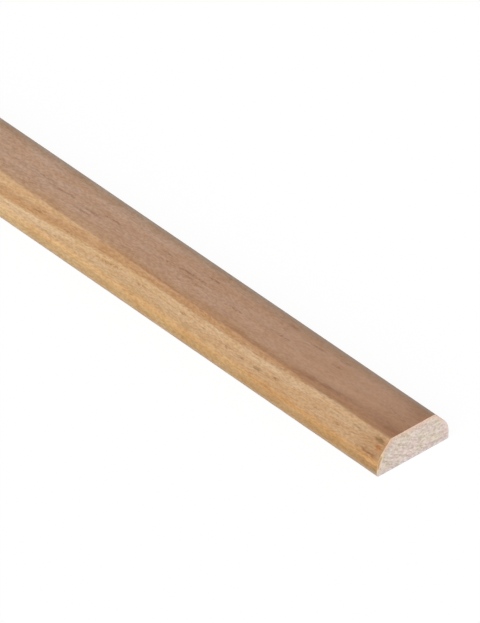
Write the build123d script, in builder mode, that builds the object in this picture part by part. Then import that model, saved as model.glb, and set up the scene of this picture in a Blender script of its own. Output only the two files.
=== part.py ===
"""Cover strip: one length of planed wooden moulding with a flat back and two bevelled sides.

Units are millimetres. X runs along the strip, Z points up from the flat back that it is fixed by,
and the origin is the middle of that back.
"""

from build123d import *

import os
from math import radians, sin

# Driving dimensions
length = 900  # one retail length, sawn square at both ends
width = 32  # across the back
thickness = 13  # back to top face
edge_height = 3.2  # upright edge left beside the back
bevel_lean = 42  # degrees that each bevel leans in from upright
shoulder_radius = 8  # rounding that carries the upright edge over into the bevel
top_arris = 0.6  # rounding between bevel and top face
back_arris = 0.8  # rounding between upright edge and back

half_width = width / 2
# The shoulder takes no more height than the bevel and its arris leave it.
shoulder_room = (thickness - edge_height - top_arris) / sin(radians(bevel_lean))
shoulder_fit = min(shoulder_radius, shoulder_room)

with BuildPart() as strip:
    with BuildSketch(Plane.YZ) as section:
        with BuildLine():
            edge = Line((half_width, 0), (half_width, edge_height))
            shoulder = JernArc(edge @ 1, edge % 1, shoulder_fit, bevel_lean)
            bevel = PolarLine(
                shoulder @ 1,
                thickness - (shoulder @ 1).Y,
                direction=shoulder % 1,
                length_mode=LengthMode.VERTICAL,
            )
            mirror(about=Plane.YZ)
            top_corner = bevel @ 1
            Line(top_corner, (-top_corner.X, top_corner.Y))
            Line((-half_width, 0), edge @ 0)
        make_face()
        fillet(section.vertices().group_by(Axis.Y)[-1], top_arris)
        fillet(section.vertices().group_by(Axis.Y)[0], back_arris)
    extrude(amount=length / 2, both=True)

strip.part.label = "cover_strip"

os.makedirs("parts", exist_ok=True)
export_step(strip.part, "parts/cover_strip.step")
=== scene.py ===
"""Looks of a planed wooden cover strip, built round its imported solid.

Lengths are in metres. The wood's figure is described in millimetres, as its names say.
"""

from math import cos, pi, radians, sin, tan

import bpy
import numpy as np
from mathutils import Matrix, Vector, noise


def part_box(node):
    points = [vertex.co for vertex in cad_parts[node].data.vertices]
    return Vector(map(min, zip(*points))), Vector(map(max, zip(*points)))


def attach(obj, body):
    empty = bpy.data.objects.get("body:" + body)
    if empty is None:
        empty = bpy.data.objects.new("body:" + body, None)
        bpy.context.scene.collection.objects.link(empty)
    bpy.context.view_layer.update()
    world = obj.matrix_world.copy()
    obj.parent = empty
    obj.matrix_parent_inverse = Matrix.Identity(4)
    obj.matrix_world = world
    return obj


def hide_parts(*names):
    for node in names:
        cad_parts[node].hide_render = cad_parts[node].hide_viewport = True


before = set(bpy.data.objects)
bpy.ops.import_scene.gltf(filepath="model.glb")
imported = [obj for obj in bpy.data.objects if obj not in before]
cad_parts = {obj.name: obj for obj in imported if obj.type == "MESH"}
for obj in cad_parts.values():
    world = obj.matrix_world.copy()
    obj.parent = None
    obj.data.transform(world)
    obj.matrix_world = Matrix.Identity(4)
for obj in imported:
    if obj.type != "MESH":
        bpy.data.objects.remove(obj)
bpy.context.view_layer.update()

MM = 0.001
strip_low, strip_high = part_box("cover_strip")
LENGTH, WIDTH, THICKNESS = strip_high - strip_low

# Section sizes, the same as the solid's
EDGE_HEIGHT = 3.2 * MM
BEVEL_LEAN = radians(42)
SHOULDER_RADIUS = 8 * MM
TOP_ARRIS = 0.6 * MM
BACK_ARRIS = 0.8 * MM

# Mesh spacing
FLANK_STEPS = {"back_arris": 4, "edge": 4, "shoulder": 8, "bevel": 6, "top_arris": 6}
ACROSS_STEPS = 24  # over the top face and over the back
RING_SPACING = 2 * MM
RIM_STEPS = 3

# Wear of the surface, all of it inside the solid
RIM_EASE = 0.14 * MM  # rounding of the sawn rim
RIM_UNEVEN = 0.06 * MM
FACE_INSET = 0.42 * MM  # from the outline to the sawn face's own rows, clear of the worn rim
ARRIS_UNEVEN = 0.08 * MM
SAW_RELIEF = 0.08 * MM
SAW_MARGIN = 1.5 * MM  # beside the rim, over which the relief dies away


def linear(*rgb):
    """Linear colour of an 8-bit sRGB one."""
    parts = [c / 255 for c in rgb]
    return [c / 12.92 if c <= 0.04045 else ((c + 0.055) / 1.055) ** 2.4 for c in parts]


# Section of the strip


def arc(centre, radius, start, end, steps):
    """Points (y, z) along an arc, both ends included."""
    turns = np.linspace(start, end, steps + 1)
    return [(centre[0] + radius * cos(t), centre[1] + radius * sin(t)) for t in turns]


def straight(start, end, steps):
    """Points along a straight run, both ends included."""
    return [tuple(np.add(start, np.subtract(end, start) * k / steps)) for k in range(steps + 1)]


def flank():
    """The +Y flank of the section, from the back's flat up to the top face's flat."""
    half = WIDTH / 2
    shoulder_centre = (half - SHOULDER_RADIUS, EDGE_HEIGHT)
    shoulder = arc(shoulder_centre, SHOULDER_RADIUS, 0, BEVEL_LEAN, FLANK_STEPS["shoulder"])
    bevel_rise = THICKNESS - shoulder[-1][1]
    top_corner = shoulder[-1][0] - bevel_rise * tan(BEVEL_LEAN)
    flat_end = top_corner - TOP_ARRIS * tan((pi / 2 - BEVEL_LEAN) / 2)
    top_centre = (flat_end, THICKNESS - TOP_ARRIS)
    top = arc(top_centre, TOP_ARRIS, BEVEL_LEAN, pi / 2, FLANK_STEPS["top_arris"])
    back_centre = (half - BACK_ARRIS, BACK_ARRIS)
    back = arc(back_centre, BACK_ARRIS, -pi / 2, 0, FLANK_STEPS["back_arris"])
    edge = straight(back[-1], shoulder[0], FLANK_STEPS["edge"])
    bevel = straight(shoulder[-1], top[0], FLANK_STEPS["bevel"])
    return np.array(back + edge[1:] + shoulder[1:] + bevel[1:] + top[1:])


def section():
    """The whole outline, anticlockwise seen from +X, with each point's climb.

    The climb is the distance up the nearer flank from the foot of its upright edge. It goes on over
    the top face to the middle, and is below zero on the back arris and the back.
    """
    right = flank()
    left = (right * (-1, 1))[::-1]
    top = np.array(straight(right[-1], left[0], ACROSS_STEPS))[1:-1]
    back = np.array(straight(left[-1], right[0], ACROSS_STEPS))[1:-1]
    up = np.concatenate([[0], np.cumsum(np.hypot(*np.diff(right, axis=0).T))])
    up -= up[FLANK_STEPS["back_arris"]]
    over = up[-1] + right[-1][0] - abs(top[:, 0])
    under = up[0] + abs(back[:, 0]) - right[0][0]
    return np.vstack([right, top, left, back]), np.concatenate([up, over, up[::-1], under])


def outward(points):
    """Unit normals of a closed anticlockwise outline."""
    along = np.roll(points, -1, axis=0) - np.roll(points, 1, axis=0)
    normals = np.column_stack([along[:, 1], -along[:, 0]])
    return normals / np.linalg.norm(normals, axis=1)[:, None]


def distance_inside(points, outline):
    """Distance of each point from a closed outline."""
    sides = np.roll(outline, -1, axis=0) - outline
    offsets = points[:, None] - outline
    shares = np.clip(np.sum(offsets * sides, axis=2) / np.sum(sides * sides, axis=1), 0, 1)
    return np.linalg.norm(offsets - shares[:, :, None] * sides, axis=2).min(axis=1)


def smooth_noise(x, y, z):
    """Smooth noise from 0 to 1."""
    return 0.5 + 0.5 * noise.noise(Vector((x, y, z)))


# Mesh of the strip


class StripMesh:
    """Vertices, quads and bake places of the strip, gathered ring by ring."""

    STRAIGHT = 0.9999  # cosine of the turn at a point, over which the outline counts as straight there
    ARRIS_WAVES = 260  # noise waves per metre along the arrises
    RIM_WAVES = 900  # noise waves per metre round the section
    SAW_WAVES = 420  # noise waves per metre across the saw's marks
    SAW_STRETCH = 4  # how much longer the marks are up the face
    RIM_SEED, SAW_SEED = 5, 7

    def __init__(self):
        self.outline, self.climb = section()
        self.normals = outward(self.outline)
        before = np.roll(self.normals, 1, axis=0)
        self.bent = np.sum(self.normals * before, axis=1) < self.STRAIGHT
        self.size = len(self.outline)
        self.vertices = []
        self.depth = []  # inside the rim of a sawn end
        self.quads = {"planed": [], "sawn": []}

    def worn(self, x):
        """The outline at x, with its arrises a little uneven."""
        wear = np.zeros(self.size)
        for point in np.flatnonzero(self.bent):
            y, z = self.outline[point] * self.RIM_WAVES
            wear[point] = ARRIS_UNEVEN * smooth_noise(x * self.ARRIS_WAVES, y, z)
        return self.outline - self.normals * wear[:, None]

    def add(self, points, depth=0.0):
        """Adds points, with one depth for all or one for each, and gives their indices."""
        first = len(self.vertices)
        self.vertices += [tuple(p) for p in points]
        self.depth += list(np.broadcast_to(depth, len(points)))
        return np.arange(first, first + len(points))

    def bridge(self, kind, lower, upper):
        """Joins two rings, the upper one further along +X."""
        a, b = np.roll(lower, -1), np.roll(upper, -1)
        self.quads[kind] += np.column_stack([lower, a, b, upper]).tolist()

    def rim_ring(self, side, turn):
        """A ring of the eased rim, turned from 0 at the planed faces to a right angle at the sawn one."""
        places = self.outline * self.RIM_WAVES
        uneven = [2 * smooth_noise(side * self.RIM_SEED, y, z) - 1 for y, z in places]
        ease = RIM_EASE + RIM_UNEVEN * np.array(uneven)
        x = side * (LENGTH / 2 - ease * (1 - sin(turn)))
        inset = self.worn(side * LENGTH / 2) - self.normals * (ease * (1 - cos(turn)))[:, None]
        return np.column_stack([x, inset])

    def add_planed(self):
        """The planed faces, and the indices of their first and last rings."""
        reach = LENGTH / 2 - RIM_EASE - RIM_UNEVEN - RING_SPACING
        fold = LENGTH / 6  # the bake map's three rows of planed faces meet here, either side of the middle
        steps = round(2 * fold / RING_SPACING)
        stops = (-reach, -fold, fold, reach)
        places = np.unique([np.linspace(a, b, steps + 1) for a, b in zip(stops, stops[1:])])
        rings = [self.rim_ring(-1, 0)]
        rings += [np.column_stack([np.full(self.size, x), self.worn(x)]) for x in places]
        rings.append(self.rim_ring(1, 0))
        indices = [self.add(ring) for ring in rings]
        for lower, upper in zip(indices, indices[1:]):
            self.bridge("planed", lower, upper)
        return indices[0], indices[-1]

    def add_end(self, side, ring):
        """A sawn end: its eased rim, the frayed band inside that, and the face."""
        rings = [ring]
        for step in range(1, RIM_STEPS + 1):
            rings.append(self.add(self.rim_ring(side, pi / 2 * step / RIM_STEPS)))
        face_x = np.full(self.size, side * LENGTH / 2)
        inner = np.column_stack([face_x, self.outline - self.normals * FACE_INSET])
        rings.append(self.add(inner, FACE_INSET))
        for lower, upper in zip(rings, rings[1:]):
            self.bridge("sawn", *((lower, upper) if side > 0 else (upper, lower)))
        self.add_face(side, inner, rings[-1])

    def add_face(self, side, inner, ring):
        """The sawn face inside a ring, row by row up the section."""
        rows = sum(FLANK_STEPS.values())
        right = ring[:rows + 1]
        top = ring[rows:rows + ACROSS_STEPS + 1][::-1]
        left = ring[rows + ACROSS_STEPS:2 * rows + ACROSS_STEPS + 1][::-1]
        back = np.append(ring[2 * rows + ACROSS_STEPS:], ring[0])
        lines = [back]
        for row in range(1, rows):
            starts, ends = inner[left[row] - ring[0]], inner[right[row] - ring[0]]
            places = np.linspace(starts, ends, ACROSS_STEPS + 1)[1:-1]
            inside = distance_inside(places[:, 1:], inner[:, 1:])
            for place, share in zip(places, np.minimum(inside / SAW_MARGIN, 1)):
                across, up = place[1] * self.SAW_WAVES, place[2] * self.SAW_WAVES / self.SAW_STRETCH
                place[0] -= side * SAW_RELIEF * smooth_noise(across, up, side * self.SAW_SEED) * share
            lines.append(np.concatenate([[left[row]], self.add(places, FACE_INSET + inside), [right[row]]]))
        lines.append(top)
        for lower, upper in zip(lines, lines[1:]):
            quads = np.column_stack([lower[:-1], lower[1:], upper[1:], upper[:-1]])
            self.quads["sawn"] += (quads if side > 0 else quads[:, ::-1]).tolist()

    def bake_places(self, planed, sawn):
        """Each corner's place in the bake map: planed faces in three rows, then the two sawn ends."""
        margin = 0.004
        third = LENGTH / 3
        share = (1 - 2 * margin) / third  # of the map's side, for a metre of planed face
        sides = np.roll(self.outline, -1, axis=0) - self.outline
        girth = np.concatenate([[0], np.cumsum(np.hypot(*sides.T))])
        row_pitch = girth[-1] * share + margin
        along = np.array(self.vertices)[planed][:, :, 0] + LENGTH / 2
        row = (along.mean(axis=1) // third).astype(int)
        start = np.tile(np.arange(self.size), len(planed) // self.size)
        round_strip = np.column_stack([girth[start], girth[start + 1], girth[start + 1], girth[start]])
        u = margin + (along - third * row[:, None]) * share
        v = margin + row_pitch * row[:, None] + round_strip * share
        planed_places = np.stack([u, v], axis=2)
        face_share = (1 - 3 * row_pitch - 2 * margin) / THICKNESS
        points = np.array(self.vertices)[sawn]
        near = points[:, :, 0].mean(axis=1) > 0
        beside = near[:, None] * (WIDTH * face_share + margin)
        u = margin + (points[:, :, 1] + WIDTH / 2) * face_share + beside
        v = 3 * row_pitch + margin + points[:, :, 2] * face_share
        return np.concatenate([planed_places.reshape(-1, 2), np.stack([u, v], axis=2).reshape(-1, 2)])

    def finished(self, name):
        """The Blender object, with planed faces in slot 0 and sawn ends in slot 1."""
        planed, sawn = self.quads["planed"], self.quads["sawn"]
        mesh = bpy.data.meshes.new(name)
        mesh.from_pydata(self.vertices, [], planed + sawn)
        mesh.polygons.foreach_set("material_index", [0] * len(planed) + [1] * len(sawn))
        mesh.polygons.foreach_set("use_smooth", [True] * (len(planed) + len(sawn)))
        rings = planed[-1][-1] // self.size + 1
        climb = np.zeros(len(self.vertices))
        climb[:rings * self.size] = np.tile(self.climb, rings)
        for label, lengths in (("climb_mm", climb), ("depth_mm", np.array(self.depth))):
            attribute = mesh.attributes.new(label, "FLOAT", "POINT")
            attribute.data.foreach_set("value", lengths / MM)
        places = self.bake_places(planed, sawn)
        mesh.uv_layers.new(name="OFBake").uv.foreach_set("vector", places.ravel())
        mesh.update()
        piece = bpy.data.objects.new(name, mesh)
        bpy.context.scene.collection.objects.link(piece)
        return piece


def build_strip():
    """The strip as one closed mesh."""
    strip = StripMesh()
    first, last = strip.add_planed()
    strip.add_end(-1, first)
    strip.add_end(1, last)
    return strip.finished("wood_strip")


# Materials


class Shader:
    """Short way to write one material's nodes. A number or colour goes straight into a socket."""

    def __init__(self, name):
        self.material = bpy.data.materials.new(name)
        self.material.use_nodes = True
        self.tree = self.material.node_tree
        self.surface = self.tree.nodes["Principled BSDF"]

    def node(self, kind, **settings):
        made = self.tree.nodes.new(kind)
        for key, value in settings.items():
            setattr(made, key, value)
        return made

    def put(self, socket, value):
        if isinstance(value, bpy.types.NodeSocket):
            self.tree.links.new(value, socket)
        elif hasattr(socket.default_value, "__len__"):
            socket.default_value = list(value) + [1] * (len(socket.default_value) - len(value))
        else:
            socket.default_value = value

    def attribute(self, name):
        return self.node("ShaderNodeAttribute", attribute_name=name).outputs["Fac"]

    def math(self, operation, *values):
        made = self.node("ShaderNodeMath", operation=operation)
        for socket, value in zip(made.inputs, values):
            self.put(socket, value)
        return made.outputs[0]

    def add(self, a, b):
        return self.math("ADD", a, b)

    def times(self, a, b):
        return self.math("MULTIPLY", a, b)

    def vector(self, x, y, z):
        made = self.node("ShaderNodeCombineXYZ")
        for socket, value in zip(made.inputs, (x, y, z)):
            self.put(socket, value)
        return made.outputs[0]

    def noise(self, place, detail=2.0, roughness=0.5):
        made = self.node("ShaderNodeTexNoise")
        self.put(made.inputs["Vector"], place)
        self.put(made.inputs["Scale"], 1.0)
        self.put(made.inputs["Detail"], detail)
        self.put(made.inputs["Roughness"], roughness)
        return made.outputs["Fac"]

    def about_zero(self, level):
        """A level of noise, less the middle that it keeps to."""
        return self.add(level, -0.5)

    def cells(self, place):
        """Distance to the nearest of scattered points, about one to a unit of place."""
        made = self.node("ShaderNodeTexVoronoi", feature="F1")
        self.put(made.inputs["Vector"], place)
        self.put(made.inputs["Scale"], 1.0)
        return made.outputs["Distance"]

    def fade(self, value, low, high, start=0.0, end=1.0):
        """Smooth change from start to end as value goes from low to high."""
        made = self.node("ShaderNodeMapRange", interpolation_type="SMOOTHSTEP")
        for socket, number in zip(made.inputs, (value, low, high, start, end)):
            self.put(socket, number)
        return made.outputs["Result"]

    def fall(self, value, low, high, start=1.0):
        """Smooth change from start to nothing as value goes from low to high."""
        return self.fade(value, low, high, start, 0.0)

    def close_to(self, value, middle, full, none, strength=1.0):
        """Strength where value is within full of middle, falling to nothing where it is none away."""
        return self.fall(self.math("ABSOLUTE", self.add(value, -middle)), full, none, strength)

    def mix(self, factor, a, b, blend="MIX"):
        made = self.node("ShaderNodeMix", data_type="RGBA", blend_type=blend)
        colours = [s for s in made.inputs if s.type == "RGBA"]
        self.put(made.inputs["Factor"], factor)
        self.put(colours[0], a)
        self.put(colours[1], b)
        return next(s for s in made.outputs if s.type == "RGBA")

    def tint(self, colour, strength, shade):
        """Multiplies a colour by shade, as far as strength goes."""
        return self.mix(strength, colour, shade, "MULTIPLY")

    def bump(self, height, strength, distance):
        made = self.node("ShaderNodeBump")
        self.put(made.inputs["Height"], height)
        self.put(made.inputs["Strength"], strength)
        self.put(made.inputs["Distance"], distance)
        return made.outputs["Normal"]

    def finished(self, colour, roughness, height, strength, distance):
        """The material, with the height, strength and distance of its bump."""
        self.put(self.surface.inputs["Base Color"], colour)
        self.put(self.surface.inputs["Roughness"], roughness)
        self.put(self.surface.inputs["Normal"], self.bump(height, strength, distance))
        return self.material


# Tree that the strip was cut from, in mm: its rings are circles round a pith above and behind the strip
PITH_Y, PITH_Z = 15.5, 44.4
RING_EDGE = 43.35  # radius of the sharp outer edge of the dark ring that crosses the front bevel
SWINGS = [(7.2, 1300.0, 340.0), (0.9, 130.0, 285.5)]  # how the rings wander: reach, wave length, middle
SWAY = 1.2  # how much they waver on the way
SWAY_SIZES = (75, 14, 14)


class Figure:
    """Places in the wood for one material: along the strip, out across the rings and round them, in mm."""

    def __init__(self, shader):
        self.shader = shader
        split = shader.node("ShaderNodeSeparateXYZ")
        shader.put(split.inputs[0], shader.node("ShaderNodeTexCoord").outputs["Object"])
        self.x, self.y, self.z = (shader.times(axis, 1 / MM) for axis in split.outputs)
        from_pith_y = shader.add(self.y, -PITH_Y)
        from_pith_z = shader.add(self.z, -PITH_Z)
        squares = [shader.times(offset, offset) for offset in (from_pith_y, from_pith_z)]
        radius = shader.math("SQRT", shader.add(*squares))
        waver = shader.noise(self.scaled((self.x, self.y, self.z), SWAY_SIZES), detail=1.0)
        wander = shader.times(shader.about_zero(waver), SWAY)
        for reach, length, middle in SWINGS:
            phase = shader.times(shader.add(self.x, -middle), 2 * pi / length)
            wander = shader.add(wander, shader.times(shader.math("SINE", phase), reach))
        self.ring = shader.add(shader.add(radius, -RING_EDGE), wander)
        self.round = shader.times(shader.math("ARCTAN2", from_pith_y, from_pith_z), RING_EDGE)

    def scaled(self, axes, sizes):
        return self.shader.vector(*(self.shader.times(axis, 1 / size) for axis, size in zip(axes, sizes)))

    def stretched(self, *sizes):
        """A texture place for features of these sizes along the strip, across the rings and round them."""
        return self.scaled((self.x, self.ring, self.round), sizes)

    def from_end(self):
        """Distance from the nearer sawn end."""
        return self.shader.math("SUBTRACT", LENGTH / 2 / MM, self.shader.math("ABSOLUTE", self.x))


VESSEL_CORE = 0.6  # share of a vessel that is fully open
MARK_CORE, MARK_EDGE = 0.3, 1.15  # where a mark begins to fade and has gone, in its half sizes
NO_MARK = 10.0  # half sizes, well past any edge


def vessels(shader, figure, along, out, size):
    """Small vessels, 1 inside and 0 outside, longer along the grain."""
    return shader.fall(shader.cells(figure.stretched(along, out, out)), size * VESSEL_CORE, size)


def mark_mask(shader, along, across, marks, width, slope):
    """1 in the middle of the listed marks and 0 away from them."""
    level = shader.add(across, shader.times(along, -slope))
    place = shader.vector(along, level, 0.0)
    nearest = NO_MARK
    for x, y, length in marks:
        scale = Vector((2 / length, 2 / width, 0))
        middle = Vector((x, y - slope * x, 0))
        moved = shader.node("ShaderNodeVectorMath", operation="MULTIPLY_ADD")
        for socket, value in zip(moved.inputs, (place, scale, -scale * middle)):
            shader.put(socket, value)
        off = shader.node("ShaderNodeVectorMath", operation="LENGTH")
        shader.put(off.inputs[0], moved.outputs[0])
        nearest = shader.math("MINIMUM", nearest, off.outputs["Value"])
    return shader.fall(nearest, MARK_CORE, MARK_EDGE)


# Planed faces. A pair of numbers is where something begins and where it is full or has ended: in mm along
# the strip, across it, up it, up the flank or from the nearer sawn end, or as levels of noise
TOP_HEIGHTS = (12.6, 12.9)
FRONT_PLACES = (-9.4, -9.8)

# Colours up the flank and over the top face, each with the climbs between which it takes over. The top's
# darker, greyer brown against the brighter golden flank is partly the wood's own tone and partly painted
# shade and sheen on the top face, which the key light strikes at a lower angle
FOOT_TAN = linear(210, 179, 132)
TOP_BROWN = linear(197, 163, 140)
BANDS = [
    (2.0, 4.6, linear(225, 187, 137)),  # golden shoulder
    (4.9, 6.5, linear(210, 178, 140)),  # cream bevel
    (13.8, 14.6, linear(197, 159, 126)),  # warm brown beside the arris
    (15.2, 19.4, TOP_BROWN),
]
BACK_CLIMBS = (-0.2, -1.0)  # the back is as brown as the top

# The dark ring that crosses the front bevel, sharp on its outer side and soft on its inner one
RING_SHARPENS = (285, 330)
RING_BLURRED, RING_SHARP = (-0.8, 0.4), (-0.45, 0.1)  # its outer side before and after that
RING_INNER_SIDE = (-4.4, -1.9)
RING_SHADE = (0.85, 0.78, 0.71)
INNER_SHADE = (0.99, 0.93, 0.87)  # wood inside it
EARLY_CREAM = linear(226, 195, 156)  # wood just outside it
EARLY_STARTS, EARLY_ENDS = (0.0, 0.5), (1.0, 3.2)
EARLY_STRENGTH = 0.5

# Marks that stand out in the photograph: middle along the strip, place across the top
# face or climb up the front flank, and length. First the rows of open vessels
TOP_ROWS = [
    (266, -0.2, 12), (273, -1.4, 12), (279, -0.9, 7), (291, -1.8, 14), (299, 0.6, 11), (288, -3.8, 9),
    (263, -7.6, 7), (328, -1.1, 9), (332, -0.4, 11), (338, 0.3, 11), (340, -1.4, 9), (344, 0.5, 8),
    (345, -2.2, 7), (347, 3.9, 11), (325, 2.1, 7), (363, -1.5, 8), (384, 0.4, 13), (397, 5.1, 11),
    (409, 2.9, 6), (409, 6.3, 8), (384, 6.6, 9),
]
FLANK_ROWS = [
    (291, 10.3, 6), (312, 9.3, 12), (316, 9.9, 8), (329, 9.4, 7), (350, 9.7, 6), (373, 8.7, 5),
    (380, 8.4, 5), (397, 9.1, 5), (417, 8.9, 5), (428, 8.5, 4),
]
ROW_WIDTH, ROW_SLOPE = 1.25, 0.04
FLANK_ROW_STRENGTH = 0.9

# Then streaks and stains, with one patch of painted shade at the foot, each kind with its face, shade, width
# and slope
STREAKS = [
    ("top", (0.82, 0.75, 0.73), 1.7, 0.115, [(413, -7.0, 31)]),
    ("top", (0.86, 0.78, 0.74), 4.5, 0.0, [(448, -7.6, 16)]),
    ("top", (0.89, 0.82, 0.78), 5.5, 0.0, [(449, 5.0, 16)]),
    ("top", (1.10, 1.13, 1.12), 4.0, 0.0, [(447, -2.6, 14)]),
    ("top", (0.88, 0.84, 0.80), 2.0, 0.0, [(378, -8.8, 40), (434, -9.2, 26)]),
    ("top", (1.06, 1.07, 1.06), 5.0, 0.0, [(396, -3.0, 150)]),
    ("flank", (0.72, 0.69, 0.60), 1.0, -0.01, [(275, 10.3, 6), (436, 11.3, 5)]),
    ("flank", (0.66, 0.64, 0.57), 1.2, 0.0, [(388.5, 8.3, 6)]),
    ("flank", (0.80, 0.79, 0.74), 1.2, 0.0, [(380.5, 8.2, 5), (393, 8.6, 4), (397, 9.2, 5)]),
    ("flank", (0.86, 0.87, 0.82), 2.2, 0.0, [(354, 6.4, 6)]),
    ("flank", (0.62, 0.55, 0.42), 1.9, -0.06, [(446.5, 11.7, 7)]),
    ("flank", (0.62, 0.49, 0.36), 1.4, -0.06, [(444.5, 6.3, 9)]),
    ("flank", (0.90, 0.64, 0.42), 2.0, 0.0, [(447.5, 9.4, 3)]),
    ("flank", (0.86, 0.88, 0.95), 1.6, 0.0, [(424, 14.0, 50)]),
    ("flank", (0.94, 0.92, 0.85), 2.2, 0.0, [(330, 6.4, 62)]),
    # painted shade: the foot of the flank beside the sawn end, darker and greyer
    ("flank", (0.80, 0.94, 1.20), 3.0, 0.0, [(449.5, 1.0, 7)]),
    ("flank", (0.94, 0.90, 0.83), 3.0, 0.0, [(333, 10.0, 26), (296, 10.0, 14)]),
    ("flank", (1.05, 1.11, 1.18), 2.4, 0.0, [(374, 4.8, 38), (366, 12.0, 20)]),
    ("flank", (1.22, 1.24, 1.28), 2.4, 0.0, [(446.5, 4.2, 9)]),
    ("flank", (1.03, 1.09, 1.20), 5.5, 0.0, [(402, 11.9, 110)]),
    ("flank", (1.00, 1.05, 1.20), 3.0, 0.0, [(268, 5.2, 50)]),
    ("flank", (1.00, 0.97, 0.86), 3.5, 0.0, [(350, 3.0, 50), (424, 3.4, 30)]),
]
RAGGED_REACH = 2.5  # how far their outlines stray
RAGGED_SIZES = (4, 1.2, 1.5)

# Figure along the grain: sizes along the strip, across the rings and round them, and its darkest shade
GRAIN = [
    ((60, 0.9, 5.0), (0.93, 0.90, 0.86)),  # streaks
    ((8, 1.3, 2.6), (0.92, 0.86, 0.77)),  # mottling
    ((28, 4, 8), (0.97, 0.92, 0.84)),  # blotches
    ((1.5, 0.50, 0.8), (0.76, 0.74, 0.72)),  # fibres
]
GRAIN_LEVELS = (0.32, 0.70)
CALM_STRETCH = (340, 425)  # over which the top face grows calmer
CALM_BEFORE, CALM_AFTER = 0.15, 0.55
CALM_LEVEL = 0.5  # of the grain's shade, which calm wood takes evenly
FIBRE_LEVELS, FIBRE_ROUGHNESS = (0.3, 0.8), (0.56, 0.68)

# Vessels: the dashes that the rows break into, and those scattered in groups between them
DASH_SIZES, DASH_LEVELS = (1.2, 0.5, 0.5), (0.38, 0.56)
GROUP_SIZES, GROUP_LEVELS = (30, 1.6, 6), (0.50, 0.64)
SCATTERED = (3.2, 0.42, 0.36)
SCATTERED_STRENGTH = 0.7
VESSEL_SHADE = (0.71, 0.61, 0.54)
VESSEL_DEPTH = 1.5  # beside the fibres' relief
PLANED_BUMP = (0.25, 0.06 * MM)  # strength and height

# Wear and painted shade: wood darkened towards the sawn ends, painted cool shade towards the far edge of the
# top face, a painted grey shade along the back arris and a painted shade line along the foot
AGED_STRETCH, AGED_SHADE = (200, 10), (0.90, 0.84, 0.79)
LOW_CLIMBS, AGED_LOW_SHADE = (7.0, 4.5), (0.90, 0.85, 0.76)
STAIN_STRETCH, STAIN_CLIMBS, STAIN_SHADE = (20, 2), (3.0, 6.5), (0.86, 0.82, 0.78)
STAIN_LOW_STRENGTH = 0.2
# Painted cool shade across the top face, growing towards its far edge
FAR_TOP_SHADE_PLACES, FAR_TOP_SHADE = (4.5, 9.4), (0.76, 0.85, 1.0)
# Painted grey shade along the back arris, which turns away from the key light
ARRIS_PLACES, ARRIS_HEIGHTS, ARRIS_STRENGTH = (8.2, 9.7), (11.6, 12.6), 0.34
BACK_ARRIS_SHADE_GREY = linear(152, 147, 146)
# Painted shade line along the foot of the flank, stronger near the sawn ends
FOOT_CLIMBS, FOOT_STRETCH, FOOT_STRENGTHS = (1.2, 0.2), (3, 25), (0.34, 0.24)
FOOT_SHADE_GREY = linear(180, 172, 168)


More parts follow.
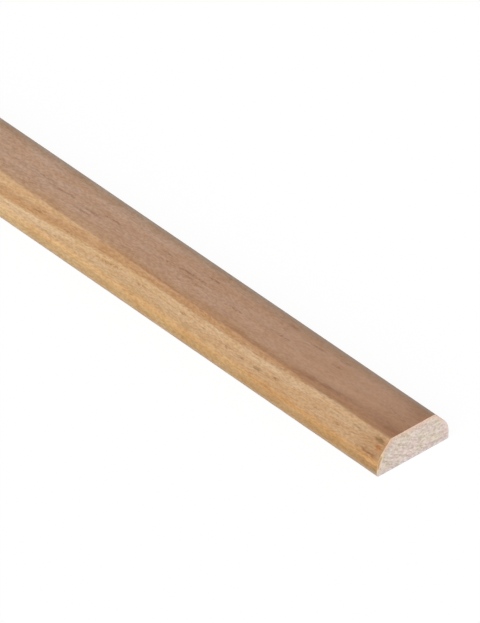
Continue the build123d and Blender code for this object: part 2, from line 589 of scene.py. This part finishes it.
class PlanedWood:
    """Planed faces, laid on from their bands of colour up to the wear and painted shade."""

    def __init__(self):
        self.shader = Shader("planed_wood")
        self.figure = Figure(self.shader)
        self.climb = self.shader.attribute("climb_mm")
        self.on_top = self.shader.fade(self.figure.z, *TOP_HEIGHTS)
        self.on_front = self.shader.fade(self.figure.y, *FRONT_PLACES)
        calm = self.shader.fade(self.figure.x, *CALM_STRETCH, CALM_BEFORE, CALM_AFTER)
        self.calm = self.shader.times(self.on_top, calm)
        self.lively = self.shader.math("SUBTRACT", 1.0, self.calm)
        self.grains = [self.shader.noise(self.figure.stretched(*sizes)) for sizes, _ in GRAIN]
        self.open_vessels = self.find_vessels()

    def find_vessels(self):
        """Where vessels are open: in rows of dashes, and scattered in groups."""
        shader, figure = self.shader, self.figure
        top_rows = mark_mask(shader, figure.x, figure.y, TOP_ROWS, ROW_WIDTH, ROW_SLOPE)
        flank_rows = mark_mask(shader, figure.x, self.climb, FLANK_ROWS, ROW_WIDTH, ROW_SLOPE)
        top_rows = shader.times(top_rows, self.on_top)
        flank_rows = shader.times(flank_rows, shader.times(self.on_front, FLANK_ROW_STRENGTH))
        rows = shader.math("MAXIMUM", top_rows, flank_rows)
        dash = shader.fade(shader.noise(figure.stretched(*DASH_SIZES), detail=1.0), *DASH_LEVELS)
        group = shader.fade(shader.noise(figure.stretched(*GROUP_SIZES), detail=1.0), *GROUP_LEVELS)
        strength = shader.times(group, SCATTERED_STRENGTH)
        scattered = shader.times(vessels(shader, figure, *SCATTERED), strength)
        return shader.math("MAXIMUM", scattered, shader.times(rows, dash))

    def bands(self):
        """Colours up the flank, over the top face and over the back."""
        shader = self.shader
        colour = FOOT_TAN
        for low, high, band in BANDS:
            colour = shader.mix(shader.fade(self.climb, low, high), colour, band)
        return shader.mix(shader.fade(self.climb, *BACK_CLIMBS), colour, TOP_BROWN)

    def with_ring(self, colour):
        """The dark ring, with cream wood outside it and tan wood inside."""
        shader, ring = self.shader, self.figure.ring
        on_flank = shader.math("SUBTRACT", 1.0, self.on_top)
        ends = zip(RING_BLURRED, RING_SHARP)
        outer_side = [shader.fade(self.figure.x, *RING_SHARPENS, *values) for values in ends]
        within = shader.fall(ring, *outer_side)
        early = shader.fall(ring, *EARLY_ENDS, EARLY_STRENGTH)
        early = shader.times(shader.fade(ring, *EARLY_STARTS), early)
        colour = shader.mix(shader.times(early, on_flank), colour, EARLY_CREAM)
        colour = shader.tint(colour, shader.times(within, on_flank), INNER_SHADE)
        dark = shader.times(within, shader.fade(ring, *RING_INNER_SIDE))
        return shader.tint(colour, dark, RING_SHADE)

    def with_streaks(self, colour):
        """Streaks and stains with ragged outlines, and a patch of painted shade at the foot beside the sawn
        end.
        """
        shader, figure = self.shader, self.figure
        stray = shader.about_zero(shader.noise(figure.stretched(*RAGGED_SIZES)))
        ragged = shader.times(stray, RAGGED_REACH)
        faces = {
            "top": (shader.add(figure.y, ragged), self.on_top),
            "flank": (shader.add(self.climb, ragged), self.on_front),
        }
        for face, shade, width, slope, marks in STREAKS:
            across, on_face = faces[face]
            streak = mark_mask(shader, figure.x, across, marks, width, slope)
            colour = shader.tint(colour, shader.times(streak, on_face), shade)
        return colour

    def with_grain(self, colour):
        """Grain, calmer over the top face and most of all towards its near end, and the vessels in it."""
        shader = self.shader
        even = shader.times(self.calm, CALM_LEVEL)
        for grain, (_, shade) in zip(self.grains, GRAIN):
            level = shader.times(shader.fade(grain, *GRAIN_LEVELS), self.lively)
            colour = shader.tint(colour, shader.add(level, even), shade)
        return shader.tint(colour, self.open_vessels, VESSEL_SHADE)

    def with_wear_and_shade(self, colour):
        """Wood darkened towards the sawn ends, with painted shade towards the far edge of the top face,
        along the back arris and along the foot.
        """
        shader, figure, climb = self.shader, self.figure, self.climb
        from_end = figure.from_end()
        aged = shader.fade(from_end, *AGED_STRETCH)
        colour = shader.tint(colour, aged, AGED_SHADE)
        colour = shader.tint(colour, shader.times(aged, shader.fade(climb, *LOW_CLIMBS)), AGED_LOW_SHADE)
        stain = shader.fade(climb, *STAIN_CLIMBS, STAIN_LOW_STRENGTH, 1.0)
        colour = shader.tint(colour, shader.times(shader.fade(from_end, *STAIN_STRETCH), stain), STAIN_SHADE)
        # Painted cool shade towards the far edge of the top face
        far_shade = shader.times(shader.fade(figure.y, *FAR_TOP_SHADE_PLACES), self.on_top)
        colour = shader.tint(colour, far_shade, FAR_TOP_SHADE)
        # Painted grey shade along the back arris
        arris = shader.fade(figure.y, *ARRIS_PLACES, 0.0, ARRIS_STRENGTH)
        colour = shader.mix(shader.times(arris, shader.fade(figure.z, *ARRIS_HEIGHTS)), colour, BACK_ARRIS_SHADE_GREY)
        # Painted shade line along the foot
        foot = shader.fade(from_end, *FOOT_STRETCH, *FOOT_STRENGTHS)
        return shader.mix(shader.times(shader.fade(climb, *FOOT_CLIMBS), foot), colour, FOOT_SHADE_GREY)

    def material(self):
        colour = self.bands()
        for layer in (self.with_ring, self.with_streaks, self.with_grain, self.with_wear_and_shade):
            colour = layer(colour)
        shader, fibres = self.shader, self.grains[-1]
        roughness = shader.fade(fibres, *FIBRE_LEVELS, *FIBRE_ROUGHNESS)
        pits = shader.times(self.open_vessels, -VESSEL_DEPTH)
        height = shader.add(shader.times(fibres, self.lively), pits)
        return shader.finished(colour, roughness, height, *PLANED_BUMP)


# Sawn ends, with pairs of numbers as for the planed faces: in mm up the end or across it, or levels of noise
END_GREY = linear(226, 212, 201)
END_PEACH, PEACH_HEIGHTS = linear(231, 206, 188), (9.5, 12.6)
END_PINK, PINK_HEIGHTS, PINK_STRENGTH = linear(216, 205, 203), (3.5, 0.5), 0.7
END_RING_SIZES, END_RING_LEVELS, END_RING_SHADE = (40, 0.9, 6), (0.35, 0.70), (0.81, 0.78, 0.75)
SPECK_SIZES, SPECK_ROUGHNESS = (3, 0.85, 1.4), 0.6
SPECK_LEVELS, SPECK_SHADE = (0.48, 0.70), (0.80, 0.77, 0.74)
PALE_LEVELS, PALE_STRENGTH, END_PALE = (0.48, 0.30), 0.68, linear(244, 233, 221)
BLOTCH_SIZES = (20, 3, 4)
BLOTCHES = [
    ((0.50, 0.64), (0.94, 0.93, 0.87)),  # olive
    ((0.48, 0.36), (0.99, 0.93, 0.96)),  # pink
]
END_VESSELS, END_VESSEL_STRENGTH, END_VESSEL_SHADE = (6.0, 1.1, 0.28), 0.5, (0.70, 0.64, 0.58)
END_VESSEL_DEPTH = 0.8  # beside the specks' relief
END_ROUGHNESS, END_BUMP = 0.85, (0.35, 0.12 * MM)

# Their frayed rim. Depths are in mm inside the outline
RIM_PEACH = linear(226, 195, 175)
RIM_YELLOW = linear(228, 200, 162)
RIM_PINK = linear(230, 210, 203)
RIM_FOOT_HEIGHTS, RIM_UPPER_HEIGHTS = (0.8, 2.5), (7.8, 9.4)
RIM_PINK_PLACES = (6.0, 12.0)
RIM_DEPTHS = (0.1, 1.5)
RIM_FUZZ = 2.5  # how far the specks fray it
BEAD_SIZES, BEAD_LEVELS, BEAD_LOW_STRENGTH = (3, 1.0, 0.9), (0.34, 0.58), 0.4
TIPS_PALE = linear(246, 231, 210)
TIPS_DEPTH, TIPS_FULL, TIPS_NONE, TIPS_STRENGTH = 0.9, 0.15, 0.65, 0.4
TIPS_LEVELS = (0.53, 0.40)

# Their front, browned, and its bruised shoulder
FRONT_END_PLACES, FRONT_DEPTHS, FRONT_SHADE = (-8.6, -10.8), (0.3, 3.2), (0.95, 0.88, 0.79)
BRUISE_HEIGHT, BRUISE_FULL, BRUISE_NONE = 5.4, 1.4, 3.2
BRUISE_DEPTH = 0.9  # how much deeper the bruise goes there
BRUISE_FUZZ = 0.9
BRUISE_DEPTHS, BRUISE_TAN = (0.5, -0.3), linear(192, 155, 114)
SPLIT_DEPTH, SPLIT_FULL, SPLIT_NONE, SPLIT_STRENGTH = 0.5, 0.1, 0.6, 0.7
SPLIT_HEIGHTS, SPLIT_LEVELS, SPLIT_LOW_STRENGTH = (9.2, 7.8), (0.30, 0.52), 0.5
SPLIT_CREAM = linear(240, 216, 180)


class SawnEnd:
    """Sawn ends: pale end grain with vessel specks and faint rings, a frayed rim and a bruised front."""

    def __init__(self):
        self.shader = Shader("sawn_end_grain")
        self.figure = Figure(self.shader)
        self.depth = self.shader.attribute("depth_mm")
        self.speck = self.shader.noise(self.figure.stretched(*SPECK_SIZES), roughness=SPECK_ROUGHNESS)
        self.fuzz = self.shader.about_zero(self.speck)
        self.bead = self.shader.noise(self.figure.stretched(*BEAD_SIZES), detail=1.0)
        self.vessel = vessels(self.shader, self.figure, *END_VESSELS)
        self.above_foot = self.shader.fade(self.figure.z, *RIM_FOOT_HEIGHTS)

    def end_grain(self):
        """Pale wood with rings, specks, blotches and vessels."""
        shader, figure = self.shader, self.figure
        colour = shader.mix(shader.fade(figure.z, *PEACH_HEIGHTS), END_GREY, END_PEACH)
        colour = shader.mix(shader.fade(figure.z, *PINK_HEIGHTS, 0.0, PINK_STRENGTH), colour, END_PINK)
        ring = shader.noise(figure.stretched(*END_RING_SIZES))
        colour = shader.tint(colour, shader.fade(ring, *END_RING_LEVELS), END_RING_SHADE)
        colour = shader.tint(colour, shader.fade(self.speck, *SPECK_LEVELS), SPECK_SHADE)
        colour = shader.mix(shader.fade(self.speck, *PALE_LEVELS, 0.0, PALE_STRENGTH), colour, END_PALE)
        blotch = shader.noise(figure.stretched(*BLOTCH_SIZES), detail=1.0)
        for levels, shade in BLOTCHES:
            colour = shader.tint(colour, shader.fade(blotch, *levels), shade)
        return shader.tint(colour, shader.times(self.vessel, END_VESSEL_STRENGTH), END_VESSEL_SHADE)

    def with_rim(self, colour):
        """The rim, frayed and broken into beads, with pale tips of fibres on its upper part."""
        shader, figure = self.shader, self.figure
        upper = shader.fade(figure.z, *RIM_UPPER_HEIGHTS)
        ragged = shader.add(self.depth, shader.times(self.fuzz, RIM_FUZZ))
        beads = shader.fade(self.bead, *BEAD_LEVELS, BEAD_LOW_STRENGTH, 1.0)
        rim = shader.times(shader.fall(ragged, *RIM_DEPTHS), beads)
        rim_colour = shader.mix(shader.fade(figure.y, *RIM_PINK_PLACES), RIM_YELLOW, RIM_PINK)
        rim_colour = shader.mix(upper, rim_colour, RIM_PEACH)
        colour = shader.mix(shader.times(rim, self.above_foot), colour, rim_colour)
        tips = shader.close_to(ragged, TIPS_DEPTH, TIPS_FULL, TIPS_NONE, TIPS_STRENGTH)
        tips = shader.times(shader.times(tips, upper), shader.fade(self.bead, *TIPS_LEVELS))
        return shader.mix(tips, colour, TIPS_PALE)

    def with_bruise(self, colour):
        """The browned front, with tan fibres over its shoulder's rim and a pale split behind them."""
        shader, figure, depth = self.shader, self.figure, self.depth
        on_front = shader.times(shader.fade(figure.y, *FRONT_END_PLACES), self.above_foot)
        colour = shader.tint(colour, shader.times(shader.fall(depth, *FRONT_DEPTHS), on_front), FRONT_SHADE)
        shoulder = shader.close_to(figure.z, BRUISE_HEIGHT, BRUISE_FULL, BRUISE_NONE)
        frayed = shader.add(depth, shader.times(self.fuzz, BRUISE_FUZZ))
        bruise = shader.add(frayed, shader.times(shoulder, -BRUISE_DEPTH))
        split = shader.close_to(bruise, SPLIT_DEPTH, SPLIT_FULL, SPLIT_NONE, SPLIT_STRENGTH)
        split = shader.times(shader.times(split, on_front), shader.fade(figure.z, *SPLIT_HEIGHTS))
        beads = shader.fade(self.bead, *SPLIT_LEVELS, SPLIT_LOW_STRENGTH, 1.0)
        colour = shader.mix(shader.times(split, beads), colour, SPLIT_CREAM)
        browned = shader.times(shader.fade(bruise, *BRUISE_DEPTHS), shader.times(shoulder, on_front))
        return shader.mix(browned, colour, BRUISE_TAN)

    def material(self):
        colour = self.with_bruise(self.with_rim(self.end_grain()))
        height = self.shader.add(self.speck, self.shader.times(self.vessel, -END_VESSEL_DEPTH))
        return self.shader.finished(colour, END_ROUGHNESS, height, *END_BUMP)


# Stage


def shown_or_lighting(tree, shown, lighting):
    """One shader for the camera and mirror rays, and another for the light that falls on the object."""
    path = tree.nodes.new("ShaderNodeLightPath")
    seen = path.outputs["Is Camera Ray"]
    for name in ("Is Glossy Ray", "Is Transmission Ray"):
        either = tree.nodes.new("ShaderNodeMath")
        either.operation = "MAXIMUM"
        tree.links.new(seen, either.inputs[0])
        tree.links.new(path.outputs[name], either.inputs[1])
        seen = either.outputs[0]
    mix = tree.nodes.new("ShaderNodeMixShader")
    for socket, source in zip(mix.inputs, (seen, lighting, shown)):
        tree.links.new(source, socket)
    return mix.outputs[0]


def build_world(ambient):
    """White to the eye, and an even soft light on the object."""
    world = bpy.data.worlds.new("studio")
    bpy.context.scene.world = world
    world.use_nodes = True
    tree = world.node_tree
    lighting = tree.nodes["Background"]
    shown = tree.nodes.new("ShaderNodeBackground")
    for background, strength in ((lighting, ambient), (shown, 1.0)):
        background.inputs["Color"].default_value = (1, 1, 1, 1)
        background.inputs["Strength"].default_value = strength
    surface = shown_or_lighting(tree, shown.outputs[0], lighting.outputs[0])
    tree.links.new(surface, tree.nodes["World Output"].inputs["Surface"])


def build_floor(light_on_floor):
    """A white floor under the strip that keeps a faint shadow."""
    reach = 250
    bounce_grey = 0.8
    shadow_share = 0.10  # how much of the floor's brightness the shadow can take away
    mesh = bpy.data.meshes.new("floor")
    corners = [(-reach, -reach, 0), (reach, -reach, 0), (reach, reach, 0), (-reach, reach, 0)]
    mesh.from_pydata(corners, [], [(0, 1, 2, 3)])
    floor = bpy.data.objects.new("floor", mesh)
    bpy.context.scene.collection.objects.link(floor)
    material = bpy.data.materials.new("white_floor")
    material.use_nodes = True
    tree = material.node_tree
    tree.nodes.remove(tree.nodes["Principled BSDF"])
    bounce = tree.nodes.new("ShaderNodeBsdfDiffuse")
    bounce.inputs["Color"].default_value = (bounce_grey, bounce_grey, bounce_grey, 1)
    shadowed = tree.nodes.new("ShaderNodeBsdfDiffuse")
    shadowed.inputs["Color"].default_value = (shadow_share, shadow_share, shadow_share, 1)
    glow = tree.nodes.new("ShaderNodeEmission")
    glow.inputs["Strength"].default_value = 1.0 - shadow_share * light_on_floor
    shown = tree.nodes.new("ShaderNodeAddShader")
    tree.links.new(shadowed.outputs[0], shown.inputs[0])
    tree.links.new(glow.outputs[0], shown.inputs[1])
    surface = shown_or_lighting(tree, shown.outputs[0], bounce.outputs[0])
    tree.links.new(surface, tree.nodes["Material Output"].inputs["Surface"])
    mesh.materials.append(material)


def build_key(towards, level, spread):
    """A broad soft key light from one side, the same all over the floor."""
    light = bpy.data.lights.new("key", "SUN")
    light.angle = spread
    light.energy = level * pi
    lamp = bpy.data.objects.new("key", light)
    lamp.rotation_euler = towards.to_track_quat("Z", "Y").to_euler()
    bpy.context.scene.collection.objects.link(lamp)


def build_light():
    """A soft key from the front and right over an even ambient light."""
    ambient, key = 0.50, 0.70
    key_spread = radians(60)
    towards_key = Vector((0.50, -0.62, 0.60)).normalized()
    build_world(ambient)
    build_key(towards_key, key, key_spread)
    build_floor(ambient + key * towards_key.z)


def build_camera():
    """A long lens far off, at the photograph's angle, with the strip's near corner on its pixel."""
    azimuth, elevation = radians(48.347), radians(37.434)
    distance = 4.430  # from the corner, along the view
    pixels_per_metre = 3031.5  # at the corner
    picture_size = Vector((480, 623))
    corner_pixel = Vector((376.49, 477.12))  # of the near bottom corner; a pixel's middle is a whole number
    back = Vector((sin(azimuth) * cos(elevation), -cos(azimuth) * cos(elevation), sin(elevation)))
    right = Vector((cos(azimuth), sin(azimuth), 0))
    up = back.cross(right)
    corner = Vector((strip_high.x, strip_low.y, strip_low.z))
    off_centre = (corner_pixel - (picture_size - Vector((1, 1))) / 2) / pixels_per_metre
    aim = corner - right * off_centre.x + up * off_centre.y
    lens = bpy.data.cameras.new("camera")
    lens.sensor_width = 36
    lens.lens = lens.sensor_width * distance * pixels_per_metre / max(picture_size)
    lens.clip_start, lens.clip_end = 0.1, 100
    camera = bpy.data.objects.new("camera", lens)
    turned = Matrix((right, up, back)).transposed().to_4x4()
    camera.matrix_world = Matrix.Translation(aim + back * distance) @ turned
    bpy.context.scene.collection.objects.link(camera)
    bpy.context.scene.camera = camera


strip = build_strip()
strip.data.materials.append(PlanedWood().material())
strip.data.materials.append(SawnEnd().material())
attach(strip, "root")
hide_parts("cover_strip")

build_light()
build_camera()
bpy.context.scene.view_settings.view_transform = "Standard"
